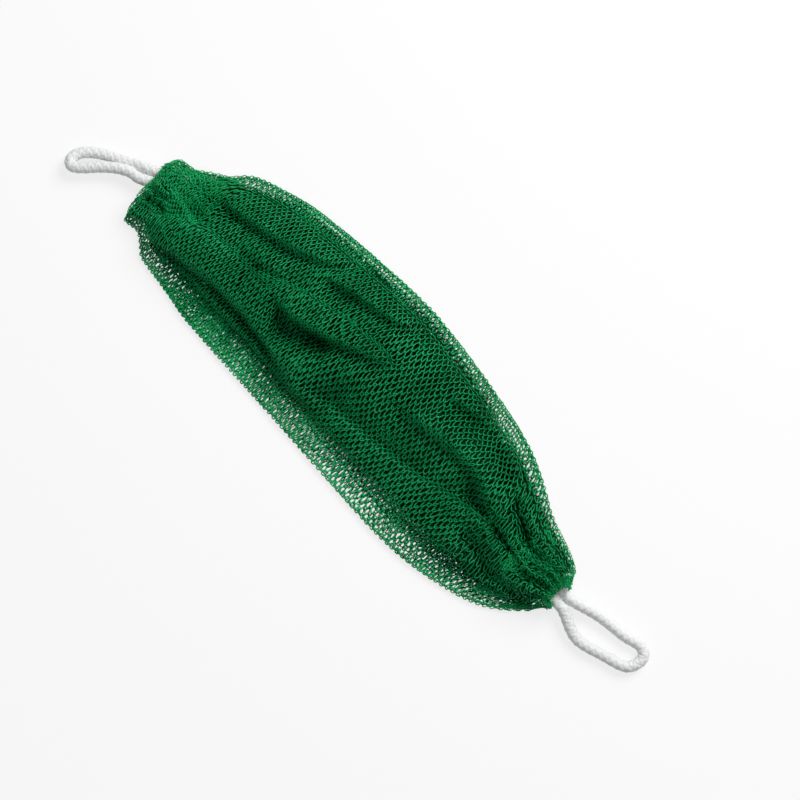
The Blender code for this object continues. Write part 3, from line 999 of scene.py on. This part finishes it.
@dataclass
class OuterNet:
    """The knitted sleeve, turned in and gathered on the cord at both ends."""

    form: NetForm
    mouths: tuple
    finish: Material
    rows: int = 80
    columns: int = 576
    station_step: float = 1.0
    # Places across each end with how far short of the net's end it stops, and the sections they are on
    left_end: tuple = (
        (-42, 6.6), (-40, 6.0), (-35, 4.5), (-30, 4.0), (-25, 3.6), (-20, 2.4), (-15, 4.2), (-10, 2.6),
        (-5, 0.7), (0, 0.6), (5, 1.0), (9, 2.2),
    )
    right_end: tuple = (
        (-30, 16.0), (-25, 13.4), (-20, 9.5), (-16.5, 2.6), (-14, 1.4), (-12, 2.5), (-10.5, 6.3), (-4, 6.6),
        (2.5, 6.3), (4.2, 2.0), (6, 1.8), (10, 4.3), (15, 8.7), (18, 11.0),
    )
    end_sections: tuple = (12, -8)
    slanted_from: float = 95.0
    # The turned-in hem: its ring round the cord, its lining, and how far its curves lead and trail
    hem_rings: int = 10
    hem_depth: float = 9.0
    hem_reach: tuple = (8.3, 4.7)
    hem_lead: float = 2.4
    hem_trail: float = 4.0
    lining_rings: int = 24
    lining_stop: int = 38
    lining_share: float = 0.8
    lining_lead: float = 6.0
    lining_trail: float = 14.0
    wave_left: float = 3.4
    wave_right: float = 4.3
    wave_span: tuple = (-60, 10)
    # How deep every other row is tucked in, where along the net, above which height, and over the tails
    tuck: float = 5.0
    right_tuck_span: tuple = (98, 128)
    left_tuck_span: tuple = (-128, -152)
    tuck_end_span: tuple = (1.0, 8.0)
    tuck_from: float = 4.0
    tuck_full_over: float = 5.0
    tail_share: float = 0.8

    def end_line(self, y: Array, side: Side) -> Array:
        """How far short of the net's end an end stops: its slope, and the notch that the loop swings in."""
        table = np.array(self.left_end if side is Side.LEFT else self.right_end)
        return np.interp(y, table[:, 0], table[:, 1])

    def surface(self) -> KnitSurface:
        """Builds the sleeve's surface.

        Returns:
            Rings from the gathered left end along the body to the gathered right end.
        """
        half = self.form.half_length
        stations = np.linspace(-half, half, round(2 * half / self.station_step) + 1)
        section = self.form.section(stations, self.columns)
        body = np.empty((len(stations), self.columns, 3))
        column = np.arange(self.columns)
        left_end = self.end_line(section[self.end_sections[0], :, 0], Side.LEFT)
        right_end = self.end_line(section[self.end_sections[1], :, 0], Side.RIGHT)
        for index, x in enumerate(stations):
            left = left_end * smoothstep(-self.slanted_from, -half, x)
            right = right_end * smoothstep(self.slanted_from, half, x)
            moved = x + left - right
            spot = np.clip((moved + half) / self.station_step, 0, len(stations) - 1.001)
            low = spot.astype(int)
            part = (spot - low)[:, None]
            body[index, :, 0] = moved
            body[index, :, 1:] = section[low, column] * (1 - part) + section[low + 1, column] * part
        left_hem = self.hem(body[0], body[self.lining_stop], self.mouths[0])
        right_hem = self.hem(body[-1], body[-1 - self.lining_stop], self.mouths[1])
        points = np.concatenate((left_hem[::-1], body, right_hem))
        tucks = np.zeros(points.shape[:2])
        tucks[len(left_hem) : -len(right_hem)] = self.tucks(stations[:, None], body)
        return KnitSurface(points, tucks, True)

    def tucks(self, station: Array, body: Array) -> Array:
        """Gives how far every other row is drawn in.

        Args:
            station: The stations of the body's rings.
            body: The body's rings of points.

        Returns:
            Depths that grow towards the ends, as far as the filling and the cord's tails leave room.
        """
        gather = smoothstep(*self.right_tuck_span, station) + smoothstep(*self.left_tuck_span, station)
        gather = gather * smoothstep(*self.tuck_end_span, self.form.half_length - np.abs(station))
        height = np.clip((body[:, :, 2] - self.tuck_from) / self.tuck_full_over, 0, 1)
        over_tails = self.form.over_tails(body[:, :, 0], body[:, :, 1])
        return self.tuck * gather * height * (1 - self.tail_share * over_tails)

    def hem(self, ring: Array, inside: Array, mouth: Mouth) -> Array:
        """Turns an end in, gathers it on the cord and lets it open again inside, as a lining.

        Args:
            ring: The end ring of the body.
            inside: The ring of the body at which the turned-in lining stops.
            mouth: The mouth at that end.

        Returns:
            Rings from just past the end ring to the end of the lining.
        """
        angle = (FULL_TURN * np.arange(self.columns) / self.columns)[:, None]
        forward = mouth.sideways if mouth.sideways[1] < 0 else -mouth.sideways
        across, up = self.hem_reach
        gathered = mouth.centre - mouth.outward * self.hem_depth
        gathered = gathered + np.cos(angle) * forward * across + np.sin(angle) * UP * up
        out = np.array((math.copysign(1.0, mouth.outward[0]), 0.0, 0.0))
        middle = inside.mean(axis=0)
        last = middle + (inside - middle) * self.lining_share
        turned_in = (ring, ring + out * self.hem_lead, gathered + mouth.outward * self.hem_trail, gathered)
        lead_in = gathered - mouth.outward * self.lining_lead
        lining = (gathered, lead_in, last + out * self.lining_trail, last)
        rings = []
        for count, curve in ((self.hem_rings, turned_in), (self.lining_rings, lining)):
            start, lead, trail, end = curve
            for t in np.linspace(0, 1, count + 1)[1:]:
                near = (1 - t) ** 3 * start + 3 * (1 - t) ** 2 * t * lead
                rings.append(near + 3 * (1 - t) * t**2 * trail + t**3 * end)
        return np.array(rings)

    def build(self) -> list[Object]:
        """Knits the sleeve.

        Returns:
            The four quarters of the sleeve's rows, from the front edge over the top and back underneath.
        """
        surface = self.surface()
        along = surface.points[:, :, 0].mean(axis=1)
        wave = self.wave_left + (self.wave_right - self.wave_left) * smoothstep(*self.wave_span, along)
        knit = Knit(self.rows, seed=11)
        lines = knit.lines(surface, wave)
        quarter = self.rows // 4
        pieces = []
        for index, place in enumerate(("top_front", "top_back", "under_back", "under_front")):
            name = f"outer_net_{place}"
            mesh = knit.mesh(name, lines[index * quarter : (index + 1) * quarter])
            pieces.append(add_net(name, mesh, self.finish, "outer_net"))
        return pieces


@dataclass
class InnerNet:
    """The length of net folded to and fro inside the sleeve, which makes its middle opaque."""

    form: NetForm
    # Its finish is the net yarn in a deeper green: painted shade, on every layer and on the border folds
    # under the flanges too.
    finish: Material
    layers: int = 6
    # Not a whole number of rows in a layer, so that the rows of one layer lie over the gaps of another
    rows: int = 140
    stations: int = 240
    columns_in_layer: int = 80
    border_crowding: float = 0.4
    ends: tuple = (-171.0, 167.0)
    wave: float = 4.2
    roof_gap: float = 2.2
    floor: float = 2.4
    least_room: float = 0.3
    edge_gap: float = 1.5
    # Shares of the sleeve's flat flanges that each fold of the strip leaves free, from the lowest fold up
    front_left: tuple = (0.25, 0.6, 0.8, 1.0)
    front_middle: tuple = (0.1, 0.5, 1.0, 1.1)
    front_right: tuple = (0.12, 0.55, 0.95, 1.1)
    left_span: tuple = (0, -55)
    right_span: tuple = (80, 120)
    back: tuple = (0.25, 0.4, 0.55)
    # Shoulders of the back edge, where more is free: their places, their reaches and how much more
    shoulders: tuple = ((-137, 18, 2.3), (92, 40, 1.4))
    border: Wander = Wander(43, 30.0)
    border_reach: float = 1.4
    border_pitch: float = 40.0
    # Yarn, and the thinner yarn of the lowest folds, which lie out in the light under the flat flanges
    yarn: float = 1.2
    thin_yarn: float = 0.7
    thin_rows: tuple = (("front_border", ((0, 8), (41, 53))), ("back_border", ((21, 26),)))
    full_rows: tuple = (
        ("lower", ((8, 21), (26, 41))),
        ("middle", ((53, 82),)),
        ("upper", ((82, 111),)),
        ("crown", ((111, 140),)),
    )

    def borders(self, x: Array, layer: int) -> tuple[Array, Array]:
        """Gives the front and the back border of a layer.

        Args:
            x: Places along the scrubber.
            layer: The layer, counted from below. Two layers share each fold.

        Returns:
            Places across the scrubber.
        """
        fade = 1 - (x / self.form.half_length) ** 4
        left, right = smoothstep(*self.left_span, x), smoothstep(*self.right_span, x)
        middle = smoothstep(*reversed(self.left_span), x) * smoothstep(*reversed(self.right_span), x)
        fold = (layer + 1) // 2
        free = self.front_left[fold] * left + self.front_middle[fold] * middle
        free = free + self.front_right[fold] * right
        ragged = self.border_reach * self.border.at(x, np.array(self.border_pitch * (layer - layer % 2)))
        low = -self.form.edge(x, True) + self.edge_gap + self.form.front_flange * fade * free
        low = low + np.abs(ragged)
        free = 1 + sum(more * bell(x - place, reach) for place, reach, more in self.shoulders)
        free = self.back[layer // 2] * free
        return low, self.form.edge(x, False) - self.edge_gap - self.form.back_flange * fade * free

    def surface(self) -> KnitSurface:
        """Builds the folded strip's surface.

        Returns:
            Rings along the strip. Each ring runs to and fro through all the layers.
        """
        x = np.linspace(*self.ends, self.stations)[:, None]
        even = np.linspace(0, 1, self.columns_in_layer)
        turned = 0.5 - 0.5 * np.cos(math.pi * even)
        share = (1 - self.border_crowding) * even + self.border_crowding * turned
        layers = []
        for layer in range(self.layers):
            low, high = self.borders(x, layer)
            y = low + (high - low) * (share if layer % 2 == 0 else 1 - share)
            sleeve = self.form.top(x, y)
            lower = np.minimum(self.floor, (sleeve + self.form.floor) / 2)
            upper = np.maximum(sleeve - self.roof_gap, lower + self.least_room)
            # Each layer tilts near its borders, up to the fold that joins it to the next.
            tilt = (share - 0.5) / self.layers * np.abs(2 * share - 1) ** 5
            level = np.clip((layer + 0.5) / self.layers + tilt, 0, 1)
            z = lower + (upper - lower) * level
            layers.append(np.stack((np.broadcast_to(x, y.shape), y, z), axis=2))
        points = np.concatenate(layers, axis=1)
        return KnitSurface(points, np.zeros(points.shape[:2]), False)

    def build(self) -> list[Object]:
        """Knits the folded strip.

        Returns:
            The borders that lie in the flanges, then the layers from below.
        """
        surface = self.surface()
        knit = Knit(self.rows, yarn=self.yarn, hook=0.66, points_in_wave=6, bulk=0.2, seed=31)
        thin = Knit(self.rows, yarn=self.thin_yarn)
        lines = knit.lines(surface, np.full(self.stations, self.wave))
        pieces = []
        for maker, shares in ((thin, self.thin_rows), (knit, self.full_rows)):
            for place, stretches in shares:
                name = f"inner_net_{place}"
                part = [line for first, last in stretches for line in lines[first:last]]
                mesh = maker.mesh(name, part)
                pieces.append(add_net(name, mesh, self.finish, "inner_net"))
        return pieces


@dataclass
class HandLoop:
    """A hand loop of braided cord: one length from its sewn-in tail round the loop to the other tail."""

    mouth: Mouth
    finish: Material
    diameter: float = 7.0
    leg_spacing: float = 7.2
    tail_start: float = 3.6
    tail_end: float = 25.6
    straight: float = 0.8
    # The braid: its lay, its strands each way, and how far they rise and weave
    lay: float = 18.5
    strands: int = 4
    strand_rise: float = 0.85
    weave_rise: float = 0.38
    back_share: float = 0.8
    weave_share: float = 0.5
    most_height: float = 1.2
    core_share: float = 0.85
    # How the filaments' pattern runs across and along a strand, and how far the two hands' are apart
    filament_scale: tuple = (4, 0.18)
    hand_shift: int = 7
    melted: float = 2.0
    step: float = 0.4
    path_stride: int = 6
    path_step: float = 2.0
    bevel: int = 22
    # Where, outwards from the mouth, the cord's swing with the loop would start and fully set in; build
    # works out these points but sets up no swing
    swing_start: float = -2.0
    swing_end: float = 9.0

    def path(self) -> Array:
        """Draws the cord's middle line.

        Returns:
            Points at even steps from one tail's end to the other's.
        """
        mouth = self.mouth
        first = np.array((*mouth.route[0][:2], 0.0))
        first_side = 1 if float(first @ mouth.sideways) > 0 else -1
        drop = self.diameter / 2 - mouth.place[2]
        ways = (-self.tail_end, -self.tail_end / 2, -self.tail_start, 0.0, self.straight * self.diameter)
        legs = []
        for side in (first_side, -first_side):
            start = mouth.centre + mouth.sideways * side * self.leg_spacing / 2
            legs.append([start + mouth.outward * way for way in ways])
        loop = [mouth.centre + np.array((x, y, up + drop)) for x, y, up in mouth.route]
        return even_line([*legs[0], *loop, *reversed(legs[1])], self.step)

    def braid(self, angle: Array, run: Array) -> tuple[Array, Array]:
        """Works out the braid's relief.

        Args:
            angle: Turns round the cord, from 0 to 1.
            run: Lengths along it.

        Returns:
            Heights between 0 and 1, and filament runs as (across, along) of the strand on top.
        """
        weave = self.weave_rise / self.strand_rise * np.cos(FULL_TURN * self.strands * run / self.lay)
        across, along = self.filament_scale
        heights, runs = [], []
        for hand in (1, -1):
            offset = (self.strands * (angle - hand * run / self.lay)) % 1.0 - 0.5
            round_back = np.sqrt(np.clip(1 - (2 * offset) ** 2, 0, 1))
            heights.append(round_back * self.back_share + hand * weave * self.weave_share)
            runs.append(np.column_stack((offset * across + hand * self.hand_shift, run * along)))
        on_top = heights[0] >= heights[1]
        height = np.where(on_top, heights[0], heights[1])
        return np.clip(height, 0, self.most_height), np.where(on_top[:, None], runs[0], runs[1])

    def mesh(self, name: str, path: Array) -> Mesh:
        """Braids the cord along its middle line.

        Args:
            name: The mesh's name.
            path: The middle line.

        Returns:
            A closed mesh with the attributes that the cord's finish reads.
        """
        core = self.diameter / 2 - self.strand_rise * self.core_share
        mesh = tube_mesh(name, [path], core, self.bevel)
        sides = 4 + 2 * self.bevel
        places = np.empty(len(mesh.vertices) * 3, np.float32)
        mesh.vertices.foreach_get("co", places)
        places = places.reshape(-1, 3)
        ring = np.arange(len(places)) // sides
        middle = path[ring] * MM
        angle = (np.arange(len(places)) % sides) / sides
        run = ring * line_length(path) / (len(path) - 1)
        height, filaments = self.braid(angle, run)
        # The cut ends are melted round, so the tube closes over its first and last stretch.
        to_end = np.clip(np.minimum(run, run.max() - run) / self.melted, 0, 1)
        taper = np.sqrt(np.clip(1 - (1 - to_end) ** 2, 0.05, 1))
        radius = (core + self.strand_rise * height) * taper
        places = middle + unit(places - middle) * (radius * MM)[:, None]
        mesh.vertices.foreach_set("co", places.astype(np.float32).ravel())
        close_ends(mesh)
        # The cord's finish darkens low strand heights: painted shade in the hollows.
        level = mesh.attributes.new("strand_height", "FLOAT", "POINT")
        level.data.foreach_set("value", height.astype(np.float32))
        fibre = mesh.attributes.new("filament_run", "FLOAT_VECTOR", "POINT")
        fibre.data.foreach_set("vector", np.column_stack((filaments, 0 * run)).astype(np.float32).ravel())
        return mesh

    def build(self) -> Object:
        """Braids the cord in place of the solid cord and its tails.

        Returns:
            The cord.
        """
        side = self.mouth.side.value
        name = f"{side}_hand_loop"
        path = self.path()
        piece = add_piece(name, self.mesh(name, path), self.finish)
        start = (self.mouth.centre + self.mouth.outward * self.swing_start) * MM
        end = (self.mouth.centre + self.mouth.outward * self.swing_end) * MM
        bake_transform(piece)
        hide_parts(f"{side}_cord_loop", f"{side}_front_tail", f"{side}_back_tail")
        tuple(self.mouth.centre * MM)
        return piece


@dataclass
class Whipping:
    """The sewing thread wound round both tails of a cord, behind the mouth."""

    mouth: Mouth
    finish: Material
    cord: float = 7.0
    leg_spacing: float = 7.2
    gap: float = 0.3
    thread: float = 0.9
    ply: float = 0.56
    ply_lay: float = 2.2
    start: float = 8.85
    turns: int = 5
    turn_points: int = 24
    pitch: float = 1.9
    step: float = 0.35

    def path(self) -> Array:
        """Draws the thread's middle line.

        Returns:
            Points at even steps, round both tails and away from the mouth.
        """
        reach = self.cord / 2 + self.gap + self.thread / 2
        knots = []
        for index in range(self.turns * self.turn_points + 1):
            angle = FULL_TURN * index / self.turn_points
            over, up = math.cos(angle), math.sin(angle)
            leg = math.copysign(self.leg_spacing / 2, over) if abs(over) > 1e-6 else 0.0
            inward = self.start + self.pitch * index / self.turn_points
            across = self.mouth.sideways * (leg + reach * over)
            knots.append(self.mouth.centre - self.mouth.outward * inward + across + UP * reach * up)
        return even_line(knots, self.step)

    def build(self) -> Object:
        """Winds the thread.

        Returns:
            The whipping, of two plies that turn round each other.
        """
        path = self.path()
        ahead = unit(np.gradient(path, axis=0))
        first = unit(np.cross(ahead, self.mouth.outward))
        second = np.cross(ahead, first)
        turn = (FULL_TURN * np.arange(len(path)) * self.step / self.ply_lay)[:, None]
        swing = (self.thread - self.ply) / 2
        lines = []
        for start in (0.0, math.pi):
            lines.append(path + (np.cos(turn + start) * first + np.sin(turn + start) * second) * swing)
        side = self.mouth.side.value
        name = f"{side}_thread_whipping"
        piece = add_piece(name, Knit(2, yarn=self.ply).mesh(name, lines, 1), self.finish)
        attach(piece, "scrubber")
        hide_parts(f"{side}_whipping")
        return piece


@dataclass
class Studio:
    """The floor, the soft lamps and the camera at the photograph's angle."""

    azimuth: float = 47.0
    elevation: float = 85.0
    target: tuple = (23.3, 6.6, 8.0)
    frame_width: float = 480.0
    lens: float = 100.0
    sensor: float = 36.0
    floor_size: float = 6000.0
    sky_strength: float = 0.22
    far_clip: float = 50.0
    # Lamps: azimuth, elevation, distance, size and power
    lamps: tuple = (("key_softbox", 185, 44, 1500, 900, 21.0), ("fill_softbox", -10, 70, 1700, 1600, 3.5))

    def away(self, azimuth: float, elevation: float) -> Vector:
        """The way from the object to something at an azimuth and elevation."""
        turn, rise = math.radians(azimuth), math.radians(elevation)
        return Vector((math.sin(turn) * math.cos(rise), -math.cos(turn) * math.cos(rise), math.sin(rise)))

    def place(self, data: bpy.types.ID, azimuth: float, elevation: float, distance: float) -> Object:
        """Puts up a lamp or a camera that looks at the target.

        Args:
            data: The lamp or the camera.
            azimuth: Its azimuth in degrees.
            elevation: Its elevation in degrees.
            distance: Its distance from the target.

        Returns:
            The object that holds it.
        """
        holder = bpy.data.objects.new(data.name, data)
        bpy.context.scene.collection.objects.link(holder)
        target = Vector(self.target) * MM
        holder.location = target + self.away(azimuth, elevation) * distance * MM
        holder.rotation_euler = (target - holder.location).to_track_quat("-Z", "Y").to_euler()
        return holder

    def build(self) -> None:
        """Sets up the studio."""
        scene = bpy.context.scene
        scene.view_settings.view_transform = "Standard"
        shape = bmesh.new()
        bmesh.ops.create_grid(shape, x_segments=1, y_segments=1, size=self.floor_size / 2 * MM)
        mesh = bpy.data.meshes.new("paper_floor")
        shape.to_mesh(mesh)
        shape.free()
        floor = add_piece("paper_floor", mesh, FloorFinish("matt white paper", "f8f8f7", 0.75).make())
        for name, azimuth, elevation, distance, size, power in self.lamps:
            lamp = bpy.data.lights.new(name, "AREA")
            lamp.shape = "DISK"
            lamp.size = size * MM
            lamp.energy = power
            self.place(lamp, azimuth, elevation, distance)
        scene.world = bpy.data.worlds.new("studio")
        scene.world.use_nodes = True
        sky = scene.world.node_tree.nodes["Background"]
        sky.inputs["Color"].default_value = linear("ffffff")
        sky.inputs["Strength"].default_value = self.sky_strength
        camera = bpy.data.cameras.new("camera")
        camera.lens = self.lens
        camera.sensor_width = self.sensor
        camera.dof.use_dof = False
        camera.clip_end = self.far_clip
        distance = self.frame_width * self.lens / self.sensor
        scene.camera = self.place(camera, self.azimuth, self.elevation, distance)


def main() -> None:
    """Builds and dresses every sub-assembly in order."""
    logging.basicConfig(level=logging.INFO)
    for old in list(bpy.data.objects):
        bpy.data.objects.remove(old, do_unlink=True)
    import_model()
    Studio().build()
    cord = CordFinish("braided polypropylene cord", "e9ebea", "b4b9b8").make()
    yarn = YarnFinish("dyed polyamide net yarn", "037e42", "0a9f58", "26bd74", 0.45).make()
    # The net inside is the same yarn; its deeper green is painted shade, so that the holes look as dark as
    # they do in the shade of the sleeve.
    inner_yarn_painted_shade = YarnFinish("polyamide net yarn inside, painted shade", "002b15", "00391d", "004c29", 0.6).make()
    thread = YarnFinish("spun polyester thread", "005a2c", "04743b", "109052", 0.6).make()
    form = NetForm()
    mouths = (LEFT_MOUTH, RIGHT_MOUTH)
    pieces = []
    for mouth in mouths:
        pieces.append(HandLoop(mouth, cord).build())
        pieces.append(Whipping(mouth, thread).build())
    pieces += OuterNet(form, mouths, yarn).build()
    pieces += InnerNet(form, inner_yarn_painted_shade).build()
    for piece in pieces:
        LOG.info("%s: %d faces", piece.name, len(piece.data.polygons))


if __name__ == "__main__":
    main()
